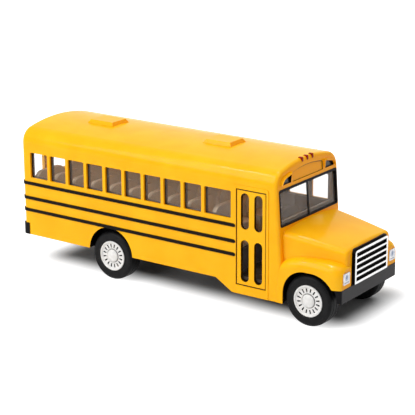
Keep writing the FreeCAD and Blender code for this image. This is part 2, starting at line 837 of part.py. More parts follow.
def make_side_glazing(side):
    spans = side_windows(side)
    pane = side_box(side, spans[0][0] - glass_margin, spans[-1][1] + glass_margin,
                    inner_half - glass, inner_half, window_z[0] - glass_margin,
                    window_z[1] + glass_margin)
    return pane.cut(ahead_of_screen(screen_frame_back + clear))


def make_rear_glazing():
    half = lining_y - clear
    return box(rear_x + wall, rear_x + wall + glass, -half, half,
               rear_window_z[0] - glass_margin, rear_window_z[1] + glass_margin)


def make_lining(side):
    """Moulded inner wall with a post between the windows"""
    end = saloon_end if side < 0 else cowl_x
    plate = side_box(side, rear_x + wall + glass + clear, end, lining_y, inner_half - glass,
                     saloon_z, window_z[1] + lining_head)
    plate = plate.cut(ahead_of_screen(screen_frame_back + clear))
    for x0, x1 in side_windows(side):
        plate = plate.cut(box(x0 - lining_inset, x1 + lining_inset, -far, far, *window_z))
    return plate


def make_interior_floor():
    """Saloon floor over the wheels, with the lower cab floor and the door step"""
    half = inner_half - base_fit
    well_x = (door_x[0] - door_gap, door_x[1] + door_gap)
    tread_y = -half + step_depth
    saloon = box(rear_x + wall + clear, saloon_end, -half, half, saloon_z - floor, saloon_z)
    riser = box(saloon_end, saloon_end + floor, -half, half, cab_floor_z - floor, saloon_z)
    cab = box(saloon_end, cowl_x - cab_floor_front, -half, half, cab_floor_z - floor,
              cab_floor_z)
    well = box(*well_x, -far, tread_y, 0, far)
    tread = box(*well_x, -half, tread_y, base_z[1], base_z[1] + floor)
    step_riser = box(*well_x, tread_y, tread_y + floor, base_z[1], cab_floor_z)
    deck = saloon.fuse([riser, cab]).cut(well).fuse([tread, step_riser])
    return deck.common(body_form(wall + base_fit, 0.0))


def make_seats(side):
    """Row of bench seats joined by the plinth they are moulded on"""
    places = [window_start + row * window_pitch + seat_front for row in range(window_count)]
    places.append(places[-1] + window_pitch + seat_last_shift)
    foot = saloon_z + plinth / 2

    def top_edge(edge):
        return along(edge, 1) and edge.Vertexes[0].Z > foot + seat_cushion_r

    pieces = []
    for front in places:
        y0, y1 = sorted((side * seat_inner, side * bench_y))
        pieces.append(rounded_in_yz(front - seat_back, front, y0, y1, foot,
                                    saloon_z + seat_back_rise, seat_corner_r))
        cushion_end = min(front + seat_depth, saloon_end)
        cushion = side_box(side, front - seat_back / 2, cushion_end,
                           seat_inner + seat_cushion_in, bench_y - seat_cushion_in, foot,
                           saloon_z + seat_cushion_rise)
        pieces.append(fillet_where(cushion, seat_cushion_r, top_edge))
    base = side_box(side, places[0] - seat_back, saloon_end, seat_inner, bench_y, saloon_z,
                    saloon_z + plinth)
    return base.fuse(pieces).removeSplitter()


def make_driver_seat():
    back, front = [cowl_x - place for place in driver_back_set]
    seat = rounded_in_yz(back, front, driver_y - driver_half, driver_y + driver_half,
                         cab_floor_z, cab_floor_z + driver_back_rise, driver_back_corner_r)
    half = driver_half - driver_cushion_in
    cushion = box(front - seat_cushion_in, cowl_x - driver_cushion_set, driver_y - half,
                  driver_y + half, cab_floor_z, cab_floor_z + driver_cushion_rise)
    return seat.fuse(cushion).removeSplitter()


def make_dashboard():
    """Block behind the windscreen, narrow where the door's step is"""
    top = cowl_z - dash_drop
    shelf = box(cowl_x - dash_set, cowl_x, dash_lip - bench_y, bench_y, cab_floor_z, top)
    lip = box(cowl_x - dash_lip_set, cowl_x, -bench_y, dash_lip - bench_y, cab_floor_z, top)
    dash = shelf.fuse(lip).removeSplitter().cut(ahead_of_cab(wall + clear))
    return dash.cut(make_steering_wheel())


def make_steering_wheel():
    """Rim with a round section, one spoke across and the column"""
    section = [Vector(steer_r + steer_rim * math.cos(math.radians(60 * i)), 0,
                      steer_rim * math.sin(math.radians(60 * i))) for i in range(7)]
    rim = Part.Face(Part.makePolygon(section)).revolve(Vector(0, 0, 0), Vector(0, 0, 1), 360)
    spoke = box(-steer_r, steer_r, -steer_rim, steer_rim, -steer_rim / 2, steer_rim / 2)
    wheel = rim.fuse([spoke, rod_z(steer_column_r, -steer_column, 0, 0, 0)])
    wheel.rotate(Vector(0, 0, 0), Vector(0, 1, 0), -steer_tilt)
    wheel.translate(Vector(cowl_x - steer_set, driver_y, steer_z))
    return wheel


def make_windscreen():
    """Clear pane seated in the seal"""
    pane = pane_cutter().common(ahead_of_screen(screen_depth + screen_glass))
    return pane.cut(ahead_of_screen(screen_depth))


def make_windscreen_seal():
    """Black surround that fills the opening's edge, with the centre post"""
    ring = screen_cutter().cut(pane_cutter())
    ring = ring.common(ahead_of_cab(wall)).common(body_form(-screen_seal_stand, step_skirt_z))
    post = box(cowl_x - over, cowl_x + over, -screen_post / 2, screen_post / 2,
               screen_z[0] + screen_seal_foot, screen_z[1] - screen_seal_top)
    post = post.common(ahead_of_screen(screen_depth))
    post = post.cut(ahead_of_screen(screen_depth - screen_post_stand))
    return ring.fuse(post)


def make_windscreen_frame():
    """Frame moulded with the interior, behind the pane's foot and sides"""
    half = screen_half - screen_seal - screen_frame
    foot = screen_z[0] + screen_seal_foot + screen_frame
    ring = pane_cutter().cut(box(-far, far, -half, half, foot, far))
    ring = ring.common(ahead_of_screen(screen_frame_back))
    return ring.cut(ahead_of_screen(screen_depth + screen_glass))


def make_rear_bumper():
    half = half_width + bumper_side
    block = box(back_x, back_x + rear_bumper_wrap, -half, half, *rear_bumper_z)

    def corner(edge):
        return along(edge, 2) and abs(edge.Vertexes[0].X - back_x) < 1e-6

    return fillet_where(block, rear_bumper_corner_r, corner).cut(body_form(0.0, step_skirt_z))


def make_front_bumper():
    face = front_x - front_bumper_set
    start = face - front_bumper_wrap
    half = front_bumper_half
    block = box(start, face, -half, half, *front_bumper_z)

    def corner(edge):
        return along(edge, 2) and abs(edge.Vertexes[0].X - face) < 1e-6

    inside = half - front_bumper_bar
    hollow = box(start - over, face - front_bumper_bar, -inside, inside,
                 front_bumper_z[0] - over, front_bumper_z[1] + over)
    bumper = fillet_where(block, front_bumper_corner_r, corner).cut(hollow)
    return bumper.cut(front_arch(-far, far))


def base_plate(nose_x):
    """Flat plate that closes the casting, cut back round the wheels"""
    low, high = base_z
    half = inner_half - base_fit
    ahead = box(cowl_x - over, far, -half, half, low, high)
    plate = box(rear_x, nose_x, -half, half, low, high)
    plate = plate.common(body_form(wall + base_fit, 0.0).fuse(ahead))
    wheel_front = front_well_x[1]
    wells = ((cab_front_x(high) - base_fit, wheel_front),
             (rear_axle_x - arch_r, rear_axle_x + arch_r))
    nose_half = front_bumper_half - front_bumper_bar - base_fit
    for side in (-1, 1):
        for x0, x1 in wells:
            plate = plate.cut(side_box(side, x0, x1, base_waist + liner_wall, far, 0, far))
        plate = plate.cut(side_box(side, wheel_front - clear, far, nose_half, far, 0, far))
    return plate


def wheel_liner(axle_x, top_z):
    """Upright walls inboard of a pair of wheels, with a roof across"""
    reach = arch_r + liner_wall
    outer = box(axle_x - reach, axle_x + reach, -base_waist - liner_wall,
                base_waist + liner_wall, base_z[0], top_z)
    inner = box(axle_x - arch_r, axle_x + arch_r, -base_waist, base_waist, base_z[1],
                top_z - liner_wall)
    return outer.cut(inner)


def drive_line():
    """Moulded gearbox, propeller shaft, differential and tank under the plate"""
    top = base_z[0]
    shaft = rod_x(shaft_r, rear_axle_x, front_axle_x - gearbox[0], 0, top)
    case = box(front_axle_x - gearbox[1], front_axle_x - gearbox[0], -gearbox[2], gearbox[2],
               spine_z, top)
    axle_case = rod_y(differential_r, -differential_half, differential_half, rear_axle_x, top)
    tank = box(rear_axle_x + tank_x[0], rear_axle_x + tank_x[1], *tank_y, spine_z, top)
    above = box(-far, far, -far, far, top + clear, far)
    return [piece.cut(above) for piece in (shaft, case, axle_case, tank)]


def make_chassis():
    low, high = base_z
    nose_x = front_x - front_bumper_set - front_bumper_bar
    rail_x = (rear_x + spine_set[0], front_x - spine_set[1])
    rails = [side_box(side, *rail_x, *spine_y, spine_z, low) for side in (-1, 1)]
    ahead = box(cab_front_x(low) + base_fit, nose_x, -far, far, 0, far)
    liners = [wheel_liner(rear_axle_x, saloon_z - floor),
              wheel_liner(front_axle_x, front_arch_z + front_arch_r).common(ahead)]
    bosses = [rod_z(boss_r, spine_z, low, x, 0)
              for x in (rear_x + boss_back, front_axle_x - gearbox[1] - boss_back)]
    bores = [rod_z(boss_bore_r, spine_z, spine_z + boss_bore, boss.CenterOfMass.x, 0)
             for boss in bosses]
    base = base_plate(nose_x).fuse(rails + liners + drive_line() + bosses)
    for axle_x in (front_axle_x, rear_axle_x):
        block = box(axle_x - axle_block, axle_x + axle_block, -base_waist, base_waist,
                    spine_z, high + axle_block_rise)
        base = base.fuse(block).cut(rod_y(axle_r + axle_fit, -far, far, axle_x, tyre_r))
    return base.cut(bores).removeSplitter()


def hub_profile(face, back):
    """Half section of a wheel centre: rim, dished disc, cap and hollow back"""
    disc = face - hub_dish
    inside = disc - hub_disc
    cap_edge = hub_cap_r + hub_cap_groove
    lip = hub_dish / 3
    outline = [(axle_r, back), (hub_boss_r, back), (hub_boss_r, inside),
               (hub_r - hub_rim, inside), (hub_r - hub_rim, back), (hub_r, back),
               (hub_r, face - lip), (hub_r - lip, face), (hub_r - 3 * lip, face),
               (hub_r - 5 * lip, disc), (cap_edge, disc), (cap_edge, disc - hub_cap_groove),
               (hub_cap_r, disc - hub_cap_groove)]
    ball_r = (hub_cap_r ** 2 + hub_cap_rise ** 2) / (2 * hub_cap_rise)
    half_turn = math.asin(hub_cap_r / ball_r) / 2
    top = Vector(0, face + hub_cap_stand, 0)
    shoulder = Vector(hub_cap_r, top.y - hub_cap_rise, 0)
    middle = Vector(ball_r * math.sin(half_turn), top.y - ball_r * (1 - math.cos(half_turn)), 0)
    points = [Vector(r, y, 0) for r, y in outline] + [shoulder]
    points += [middle, top, Vector(0, face - axle_end, 0), Vector(axle_r, face - axle_end, 0)]
    return Part.Face(Part.makePolygon(points + points[:1]))


def make_hub(side):
    """Wheel centre turned about its axle, with a ring of slots"""
    hub = hub_profile(wheel_face_y, wheel_back_y).revolve(Vector(0, 0, 0), Vector(0, 1, 0), 360)
    length, width = hub_slot
    slot = box(hub_slot_r - length / 2, hub_slot_r + length / 2, wheel_face_y - hub_slot_depth,
               wheel_face_y + over, -width / 2, width / 2)
    slots = []
    for i in range(hub_slots):
        turned = slot.copy()
        turned.rotate(Vector(0, 0, 0), Vector(0, 1, 0), (i + 0.5) * 360 / hub_slots)
        slots.append(turned)
    hub = hub.cut(slots)
    return hub if side > 0 else mirrored(hub)


def make_tyre(side):
    """Tyre with a bevelled outer shoulder, turned about its axle"""
    face = wheel_face_y
    outline = [(hub_r, wheel_back_y), (tyre_r, wheel_back_y), (tyre_r, face - tyre_shoulder),
               (tyre_r - tyre_shoulder, face), (hub_r, face)]
    points = [Vector(r, y, 0) for r, y in outline]
    section = Part.Face(Part.makePolygon(points + points[:1]))
    tyre = section.revolve(Vector(0, 0, 0), Vector(0, 1, 0), 360)
    return tyre if side > 0 else mirrored(tyre)


def at_axle(shape, axle_x):
    shape.translate(Vector(axle_x, 0, tyre_r))
    return shape


def make_axle(axle_x):
    reach = wheel_face_y - axle_end
    return rod_y(axle_r, -reach, reach, axle_x, tyre_r)


nodes = {
    "body_shell": make_body_shell(),
    "front_clip": make_front_clip(),
    "door": make_door(),
    "rub_rails_right": make_rails(-1),
    "rub_rails_left": make_rails(1),
    "roof_hatches": make_hatches(),
    "clearance_lamps": make_clearance_lamps(),
    "front_warning_lamps": make_warning_lamps(0),
    "rear_warning_lamps": make_warning_lamps(1),
    "tail_lamps": make_tail_lamps(),
    "headlamps": headlamp(headlamp_depth),
    "grille": make_grille(),
    "grille_surround": make_grille_surround(),
    "side_glazing_right": make_side_glazing(-1),
    "side_glazing_left": make_side_glazing(1),
    "rear_glazing": make_rear_glazing(),
    "windscreen": make_windscreen(),
    "windscreen_seal": make_windscreen_seal(),
    "windscreen_frame": make_windscreen_frame(),
    "interior_floor": make_interior_floor(),
    "lining_right": make_lining(-1),
    "lining_left": make_lining(1),
    "seats_right": make_seats(-1),
    "seats_left": make_seats(1),
    "driver_seat": make_driver_seat(),
    "dashboard": make_dashboard(),
    "steering_wheel": make_steering_wheel(),
    "chassis_base": make_chassis(),
    "front_bumper": make_front_bumper(),
    "rear_bumper": make_rear_bumper(),
}
for end, axle_x in (("front", front_axle_x), ("rear", rear_axle_x)):
    nodes[end + "_axle"] = make_axle(axle_x)
    for name, side in (("right", -1), ("left", 1)):
        nodes[end + "_hub_" + name] = at_axle(make_hub(side), axle_x)
        nodes[end + "_tyre_" + name] = at_axle(make_tyre(side), axle_x)

os.makedirs("parts", exist_ok=True)
for name, shape in nodes.items():
    shape.exportStep("parts/" + name + ".step")
    print(name, len(shape.Solids), round(shape.Volume, 1), shape.isValid())
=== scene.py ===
import bpy
import json
import math
from mathutils import Matrix, Vector

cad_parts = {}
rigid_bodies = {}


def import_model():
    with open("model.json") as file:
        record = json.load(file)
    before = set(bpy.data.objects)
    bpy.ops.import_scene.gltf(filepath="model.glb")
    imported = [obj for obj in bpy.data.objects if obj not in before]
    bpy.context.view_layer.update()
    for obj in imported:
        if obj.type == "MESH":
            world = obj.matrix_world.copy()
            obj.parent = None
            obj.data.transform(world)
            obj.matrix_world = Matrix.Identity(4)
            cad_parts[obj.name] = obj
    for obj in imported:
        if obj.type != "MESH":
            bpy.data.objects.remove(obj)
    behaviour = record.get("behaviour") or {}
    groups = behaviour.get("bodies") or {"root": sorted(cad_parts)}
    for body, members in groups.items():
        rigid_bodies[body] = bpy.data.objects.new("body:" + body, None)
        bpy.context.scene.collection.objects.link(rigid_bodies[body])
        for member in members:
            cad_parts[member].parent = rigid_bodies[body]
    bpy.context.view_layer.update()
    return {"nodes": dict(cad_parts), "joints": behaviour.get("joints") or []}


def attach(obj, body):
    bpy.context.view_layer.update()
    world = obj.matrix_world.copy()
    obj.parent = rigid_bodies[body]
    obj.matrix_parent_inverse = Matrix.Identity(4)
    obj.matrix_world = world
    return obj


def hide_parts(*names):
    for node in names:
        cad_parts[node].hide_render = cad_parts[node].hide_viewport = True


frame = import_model()

# Camera: a product photograph of the toy from its right front, a little above the roof.
# A long lens about 0.84 m away, turned by a quarter of a degree as the photograph is.
camera_lens = 131.07
camera_sensor = 36.0
camera_azimuth = math.radians(35.57)
camera_elevation = math.radians(16.719)
camera_roll = math.radians(-0.262)
camera_distance = 0.84274
camera_target = Vector((0.00237, 0.00094, 0.04247))
back = Vector((math.sin(camera_azimuth) * math.cos(camera_elevation),
               -math.cos(camera_azimuth) * math.cos(camera_elevation),
               math.sin(camera_elevation)))
level = Vector((0, 0, 1)).cross(back).normalized()
above = back.cross(level)
right = math.cos(camera_roll) * level + math.sin(camera_roll) * above
up = back.cross(right)
camera_data = bpy.data.cameras.new("product_camera")
camera_data.lens = camera_lens
camera_data.sensor_width = camera_sensor
camera_data.clip_start = 0.05
camera_data.clip_end = 20.0
camera = bpy.data.objects.new("product_camera", camera_data)
bpy.context.collection.objects.link(camera)
camera.matrix_world = Matrix.LocRotScale(camera_target + back * camera_distance,
                                         Matrix((right, up, back)).transposed(), None)
bpy.context.scene.camera = camera


# Studio: a pale matt sweep under softboxes, with a soft shadow below the toy. To the camera,
# in gloss and through glass, the room is white and the floor is a grey paper that glows to
# white outside a box round the shadow, so the darker floor there is partly painted shadow.
# From below the floor is clear, so that the base can be seen.
floor_size = 6.0
shadow_middle = (3.0, 13.5, 0.0)       # in mm, as are the next four
shadow_half = (90.0, 20.5, 0.0)
shadow_fade = 26.0
far_glow_start = 300.0
far_glow_end = 1600.0
far_glow = 0.5
room_strength = 0.33
lamp_target = Vector((0, 0, 0.04))


def linear(colour):
    """Linear colour of an sRGB hex value such as FFC020"""
    parts = [int(colour[i:i + 2], 16) / 255 for i in (0, 2, 4)]
    curved = [p / 12.92 if p <= 0.04045 else ((p + 0.055) / 1.055) ** 2.4 for p in parts]
    return (*curved, 1.0)


def add_node(tree, kind, inputs=None, **settings):
    """One node with its settings; an input takes a value or another node's socket"""
    new = tree.nodes.new(kind)
    for name, value in settings.items():
        setattr(new, name, value)
    for socket, value in (inputs or {}).items():
        if isinstance(value, bpy.types.NodeSocket):
            tree.links.new(value, new.inputs[socket])
        else:
            new.inputs[socket].default_value = value
    return new


def seen_directly(tree):
    """1 for rays from the camera, off gloss and through glass, and 0 for the light's own"""
    path = add_node(tree, "ShaderNodeLightPath")
    pair = add_node(tree, "ShaderNodeMath", {0: path.outputs["Is Camera Ray"],
                                             1: path.outputs["Is Glossy Ray"]},
                    operation="MAXIMUM")
    return add_node(tree, "ShaderNodeMath", {0: pair.outputs[0],
                                             1: path.outputs["Is Transmission Ray"]},
                    operation="MAXIMUM").outputs[0]


def distance_past(tree, coordinates, middle_mm, half_mm, axes="XYZ", mirrored=False):
    """Distance in mm outside a box, along the axes named, or outside it and its mirror image"""
    steps = [("ABSOLUTE", None)] if mirrored else []
    steps += [("SUBTRACT", [value / 1000 for value in middle_mm]),
              ("MULTIPLY", [1000.0 if axis in axes else 0.0 for axis in "XYZ"]),
              ("ABSOLUTE", None), ("SUBTRACT", half_mm), ("MAXIMUM", (0, 0, 0))]
    point = coordinates
    for operation, values in steps:
        inputs = {0: point} if values is None else {0: point, 1: values}
        point = add_node(tree, "ShaderNodeVectorMath", inputs, operation=operation).outputs[0]
    return add_node(tree, "ShaderNodeVectorMath", {0: point},
                    operation="LENGTH").outputs["Value"]


def softbox(name, place, size, watts, in_gloss=True, in_diffuse=True):
    """Square area lamp aimed at the toy, which gloss or matt surfaces can leave out"""
    lamp = bpy.data.lights.new(name, "AREA")
    lamp.size = size
    lamp.energy = watts
    lamp_object = bpy.data.objects.new(name, lamp)
    bpy.context.collection.objects.link(lamp_object)
    lamp_object.location = place
    lamp_object.visible_glossy = in_gloss
    lamp_object.visible_diffuse = in_diffuse
    lamp_object.rotation_mode = "QUATERNION"
    lamp_object.rotation_quaternion = (lamp_target - Vector(place)).to_track_quat("-Z", "Y")


bpy.ops.object.select_all(action="DESELECT")
bpy.ops.mesh.primitive_plane_add(size=floor_size, location=(0, 0, 0))
floor = bpy.context.object
floor.name = "studio_floor"
floor_paper = bpy.data.materials.new("matt_white_paper")
floor_paper.use_nodes = True
tree = floor_paper.node_tree
tree.nodes.clear()
lit_paper = add_node(tree, "ShaderNodeBsdfDiffuse", {"Color": linear("F6F6F6")})
# Painted shadow: the camera sees a darker paper than the light does, wherever the glow is held
# back.
seen_paper = add_node(tree, "ShaderNodeBsdfDiffuse", {"Color": linear("BCBCBC")})
place = add_node(tree, "ShaderNodeTexCoord")
past_shadow = distance_past(tree, place.outputs["Object"], shadow_middle, shadow_half)
near_lift = add_node(tree, "ShaderNodeMapRange", {"Value": past_shadow, "From Max": shadow_fade},
                     interpolation_type="SMOOTHSTEP")
far_lift = add_node(tree, "ShaderNodeMapRange", {"Value": past_shadow,
                                                 "From Min": far_glow_start,
                                                 "From Max": far_glow_end,
                                                 "To Max": far_glow})
lift = add_node(tree, "ShaderNodeMath", {0: near_lift.outputs["Result"],
                                         1: far_lift.outputs["Result"]}, operation="ADD")
glow = add_node(tree, "ShaderNodeEmission", {"Color": (1, 1, 1, 1),
                                             "Strength": lift.outputs[0]})
both = add_node(tree, "ShaderNodeAddShader", {0: seen_paper.outputs[0], 1: glow.outputs[0]})
mix = add_node(tree, "ShaderNodeMixShader", {0: seen_directly(tree), 1: lit_paper.outputs[0],
                                             2: both.outputs[0]})
side = add_node(tree, "ShaderNodeNewGeometry")
clear = add_node(tree, "ShaderNodeBsdfTransparent")
sheet = add_node(tree, "ShaderNodeMixShader", {0: side.outputs["Backfacing"],
                                               1: mix.outputs[0], 2: clear.outputs[0]})
add_node(tree, "ShaderNodeOutputMaterial", {"Surface": sheet.outputs[0]})
floor.data.materials.append(floor_paper)

world = bpy.data.worlds.new("studio_room")
world.use_nodes = True
bpy.context.scene.world = world
tree = world.node_tree
tree.nodes.clear()
room = add_node(tree, "ShaderNodeBackground", {"Color": (1, 1, 1, 1),
                                               "Strength": room_strength})
white = add_node(tree, "ShaderNodeBackground", {"Color": (1, 1, 1, 1), "Strength": 1.0})
mix = add_node(tree, "ShaderNodeMixShader", {0: seen_directly(tree), 1: room.outputs[0],
                                             2: white.outputs[0]})
add_node(tree, "ShaderNodeOutputWorld", {"Surface": mix.outputs[0]})

softbox("softbox_over_side", (-0.35, -0.75, 0.75), size=0.8, watts=7.8)
softbox("softbox_overhead", (0.28, 0.06, 1.08), size=0.9, watts=4.9)
softbox("softbox_fill_far_side", (-0.35, 0.95, 0.55), size=0.6, watts=3.0, in_gloss=False)
softbox("small_softbox_for_gloss", (-0.41, -0.26, 0.745), size=0.08, watts=0.4)
softbox("small_softbox_for_fender_streak", (-0.17, 0.13, 0.89), size=0.1, watts=4.0,
        in_diffuse=False)
bpy.context.scene.view_settings.view_transform = "Standard"


# Body casting, front clip, door and roof hatches: die-cast zinc, sprayed in one coat of
# glossy yellow enamel. The coat rounds every edge and has a soft sheen. The window openings
# and the door gap are painted dark brown as shade, and the wheel arches black, for their
# black wells and as painted shade.
shade_stops = (0.35, 0.65)
snug = 0.05                            # mm by which a mask passes its box
shadow_brown = "3B2408"
arch_black = "0B0A0A"
flank_mm = 30.35
axle_places = {joint["child"]: [1000 * value for value in joint["pos_m"]]
               for joint in frame["joints"]}


def finish_material(name, shades, grain_mm, roughness, specular=0.5):
    """New material whose colour wanders between two shades over patches of a real size"""
    made = bpy.data.materials.new(name)
    made.use_nodes = True
    tree = made.node_tree
    shader = tree.nodes["Principled BSDF"]
    shader.inputs["Roughness"].default_value = roughness
    shader.inputs["Specular IOR Level"].default_value = specular
    place = add_node(tree, "ShaderNodeTexCoord")
    noise = add_node(tree, "ShaderNodeTexNoise", {"Vector": place.outputs["Object"],
                                                  "Scale": 1000.0 / grain_mm, "Detail": 3.0})
    ramp = add_node(tree, "ShaderNodeValToRGB", {"Fac": noise.outputs["Fac"]})
    for stop, position, shade in zip(ramp.color_ramp.elements, shade_stops, shades):
        stop.position = position
        stop.color = linear(shade)
    tree.links.new(ramp.outputs["Color"], shader.inputs["Base Color"])
    return made, tree, shader, place.outputs["Object"]


def relief(tree, shader, spot, grain_mm, height_mm, edge_mm=0.0):
    """Fine bump of a real grain size and height, and edges that the finish rounds"""
    noise = add_node(tree, "ShaderNodeTexNoise", {"Vector": spot, "Scale": 1000.0 / grain_mm,
                                                  "Detail": 2.0})
    bump = add_node(tree, "ShaderNodeBump", {"Height": noise.outputs["Fac"],
                                             "Strength": 1.0, "Distance": height_mm / 1000.0})
    if edge_mm:
        edge = add_node(tree, "ShaderNodeBevel", {"Radius": edge_mm / 1000.0}, samples=6)
        tree.links.new(edge.outputs["Normal"], bump.inputs["Normal"])
    tree.links.new(bump.outputs["Normal"], shader.inputs["Normal"])


def uneven_gloss(tree, shader, spot, grain_mm, low, high):
    """Roughness that wanders between two values"""
    noise = add_node(tree, "ShaderNodeTexNoise", {"Vector": spot, "Scale": 1000.0 / grain_mm,
                                                  "Detail": 2.0})
    spread = add_node(tree, "ShaderNodeMapRange", {"Value": noise.outputs["Fac"],
                                                   "To Min": low, "To Max": high})
    tree.links.new(spread.outputs["Result"], shader.inputs["Roughness"])


def place_mask(tree, spot, middle_mm, half_mm, grown_mm=snug, axes="XYZ", mirrored=False,
               outside=False):
    """1 in a box grown all round by a radius, or instead outside it, and 0 elsewhere"""
    past = distance_past(tree, spot, middle_mm, half_mm, axes, mirrored)
    return add_node(tree, "ShaderNodeMath", {0: past, 1: grown_mm},
                    operation="GREATER_THAN" if outside else "LESS_THAN").outputs[0]


def facing_mask(tree, axis, low, high):
    """1 where the surface's normal along an axis is between two values, and 0 elsewhere"""
    place = add_node(tree, "ShaderNodeTexCoord")
    parts = add_node(tree, "ShaderNodeSeparateXYZ", {0: place.outputs["Normal"]})
    return add_node(tree, "ShaderNodeMath", {0: parts.outputs[axis], 1: (low + high) / 2,
                                             2: (high - low) / 2}, operation="COMPARE").outputs[0]


def wash(tree, shader, colour, *masks):
    """Second colour laid over the base colour where all the masks are 1"""
    mask = masks[0]
    for other in masks[1:]:
        mask = add_node(tree, "ShaderNodeMath", {0: mask, 1: other},
                        operation="MULTIPLY").outputs[0]
    under = shader.inputs["Base Color"].links[0].from_socket
    over = add_node(tree, "ShaderNodeMix", {0: mask, 6: under, 7: linear(colour)},
                    data_type="RGBA")
    tree.links.new(over.outputs[2], shader.inputs["Base Color"])


def coat_node(name, material):
    """A CAD node keeps its shape and takes the material"""
    mesh = frame["nodes"][name].data
    mesh.materials.clear()
    mesh.materials.append(material)


def yellow_enamel(name):
    """The enamel, with painted shade making faces that look forward a deeper orange, for one
    casting to add dark places
    """
    made, tree, shader, spot = finish_material(name, ("FFB408", "FFBC12"), grain_mm=16.0,
                                               roughness=0.3, specular=0.03)
    # Painted shade: faces that look forward are washed a deeper orange.
    wash(tree, shader, "FFAA02", facing_mask(tree, "X", low=0.8, high=1.1))
    relief(tree, shader, spot, grain_mm=1.6, height_mm=0.004, edge_mm=0.3)
    uneven_gloss(tree, shader, spot, grain_mm=9.0, low=0.26, high=0.34)
    shader.inputs["Coat Weight"].default_value = 0.18
    shader.inputs["Coat Roughness"].default_value = 0.08
    return made, tree, shader, spot


def blacken_arches(tree, shader, spot, middle_mm, half_mm, radius_mm):
    """Black inside both wheel arches of an axle, as far out as the yellow flanks, for the black
    wells and as painted shade
    """
    over_wheel = place_mask(tree, spot, middle_mm, half_mm, radius_mm, "XZ")
    inside_flanks = place_mask(tree, spot, (0, 0, 0), (0, 0, 0), flank_mm, "Y")
    wash(tree, shader, arch_black, over_wheel, inside_flanks)


enamel = yellow_enamel("yellow_gloss_enamel")[0]
coat_node("roof_hatches", enamel)

# Each box is given by its middle and its half size, in mm.
window_openings = ((-20.0, 0.0, 58.2), (84.5, 29.3, 8.5))
door_way = ((52.83, -28.0, 41.3), (9.7, 2.3, 27.0))
shell_behind_wheel = ((70.0, 0, 18.0), (2.5, 29.0, 9.5))
rear_arch_z = 5.3
rear_arch_half = (0, 0, 10.0)
rear_arch_radius = 15.47
shell_enamel, tree, shader, spot = yellow_enamel("yellow_enamel_body")
# Painted shade: the reveals of the window openings and the door way are washed dark brown.
for box in (window_openings, door_way):
    wash(tree, shader, shadow_brown, place_mask(tree, spot, *box))
blacken_arches(tree, shader, spot, (axle_places["rear_wheelset"][0], 0, rear_arch_z),
               rear_arch_half, rear_arch_radius)
# Black well and painted shade: the shell behind the front wheel is washed black.
wash(tree, shader, arch_black, place_mask(tree, spot, *shell_behind_wheel))

# The lamp pockets of the header and the back are painted black down to their lenses, as
# shade inside them. Each lies under the crown's arc beside the sign, and goes round a corner arc
# to a level foot.
crown_middle_z = -21.55
pocket_crown_radius = 99.22
beside_sign = ((0, 19.8, 74.0), (0, 2.7, 4.0))
corner_y, corner_z = 21.65, 70.85
pocket_corner_radius = 4.32
above_foot = ((0, 22.0, 75.0), (0, 4.9, 3.05))
pocket_ends = ((68.4, 2.0), (-107.0, 1.1))
under_crown = place_mask(tree, spot, (0, 0, crown_middle_z), (0, 0, 0), pocket_crown_radius,
                         "YZ")
in_band = place_mask(tree, spot, *beside_sign, axes="YZ", mirrored=True)
in_corner = place_mask(tree, spot, (0, corner_y, corner_z), (0, 0, 0), pocket_corner_radius,
                       "YZ", mirrored=True)
over_foot = place_mask(tree, spot, *above_foot, axes="YZ", mirrored=True)
for end_x, half_x in pocket_ends:
    at_end = place_mask(tree, spot, (end_x, 0, 0), (half_x, 0, 0), axes="X")
    wash(tree, shader, arch_black, under_crown, in_band, over_foot, at_end)
    wash(tree, shader, arch_black, in_corner, over_foot, at_end)

# The edge of the sunken sign panel and a thin arc under its lip are painted in shadow brown. The
# panel itself stays blank.
sign_recess = ((67.6, 0, 75.0), (0.75, 15.0, 4.0))
sign_face = ((67.6, 0, 75.0), (0.9, 14.75, 4.0))
sign_arc_z = 8.85
sign_arc_outer, sign_arc_inner = 69.3, 68.85
wash(tree, shader, shadow_brown, place_mask(tree, spot, *sign_recess),
     facing_mask(tree, "X", low=-0.5, high=0.5))
under_lip = place_mask(tree, spot, (0, 0, sign_arc_z), (0, 0, 0), sign_arc_outer, "YZ")
past_panel = place_mask(tree, spot, (0, 0, sign_arc_z), (0, 0, 0), sign_arc_inner, "YZ",
                        outside=True)
wash(tree, shader, shadow_brown, place_mask(tree, spot, *sign_face), under_lip, past_panel)
coat_node("body_shell", shell_enamel)

clip_behind_wheel = ((70.5, 0, 18.0), (3.2, 29.0, 9.5))
front_arch_middle = (88.3, 0, 6.1)
front_arch_half = (2.0, 0, 10.0)
front_arch_radius = 13.68
clip_enamel, tree, shader, spot = yellow_enamel("yellow_enamel_front_clip")
blacken_arches(tree, shader, spot, front_arch_middle, front_arch_half, front_arch_radius)
# Black well and painted shade: the clip behind the front wheel is washed black.
wash(tree, shader, arch_black, place_mask(tree, spot, *clip_behind_wheel))
coat_node("front_clip", clip_enamel)

# The door's edges, its slots' walls and a thin border of its face are painted in the gap's
# shadow.
behind_face = ((0, -28.0, 0), (0, 2.35, 0))
bright_face = ((52.825, 0, 41.3), (8.8, 0, 25.82))
door_enamel, tree, shader, spot = yellow_enamel("yellow_enamel_door")
wash(tree, shader, shadow_brown, place_mask(tree, spot, *behind_face, axes="Y"),
     facing_mask(tree, "Y", low=-0.5, high=0.5))
wash(tree, shader, shadow_brown,
     place_mask(tree, spot, *bright_face, axes="XZ", outside=True))
coat_node("door", door_enamel)


